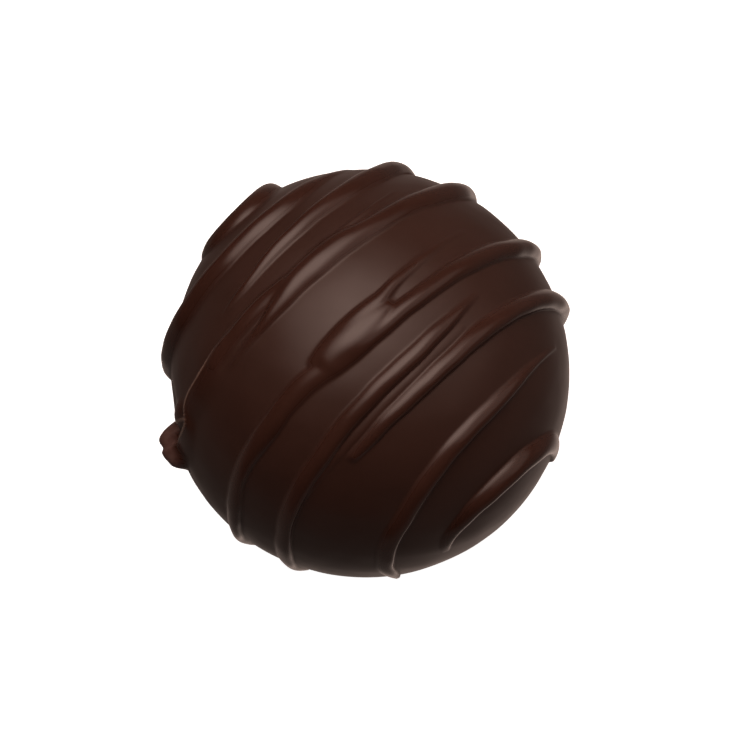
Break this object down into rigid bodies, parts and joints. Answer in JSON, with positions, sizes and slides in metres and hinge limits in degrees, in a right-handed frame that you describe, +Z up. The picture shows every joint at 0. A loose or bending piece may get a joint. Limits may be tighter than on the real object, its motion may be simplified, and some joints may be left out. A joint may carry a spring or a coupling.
{
  "type": "chocolate truffle",
  "caption": "Round dark chocolate truffle with raised drizzled strands of chocolate over it and a small flat base to rest on.",
  "frame": {"origin": "centre of the flat base that the truffle rests on", "axes": "+Z up, through the top of the ball; the drizzle runs in plan from -X -Y to +X +Y, 41 degrees from +X"},
  "size_m": [0.0304, 0.0306, 0.0289],
  "materials": {
    "dark_chocolate": "set dark chocolate with a satin shine, smooth, slightly glossier on the drizzled strands"
  },
  "bodies": {
    "root": {"truffle": "dark_chocolate"}
  },
  "joints": []
}
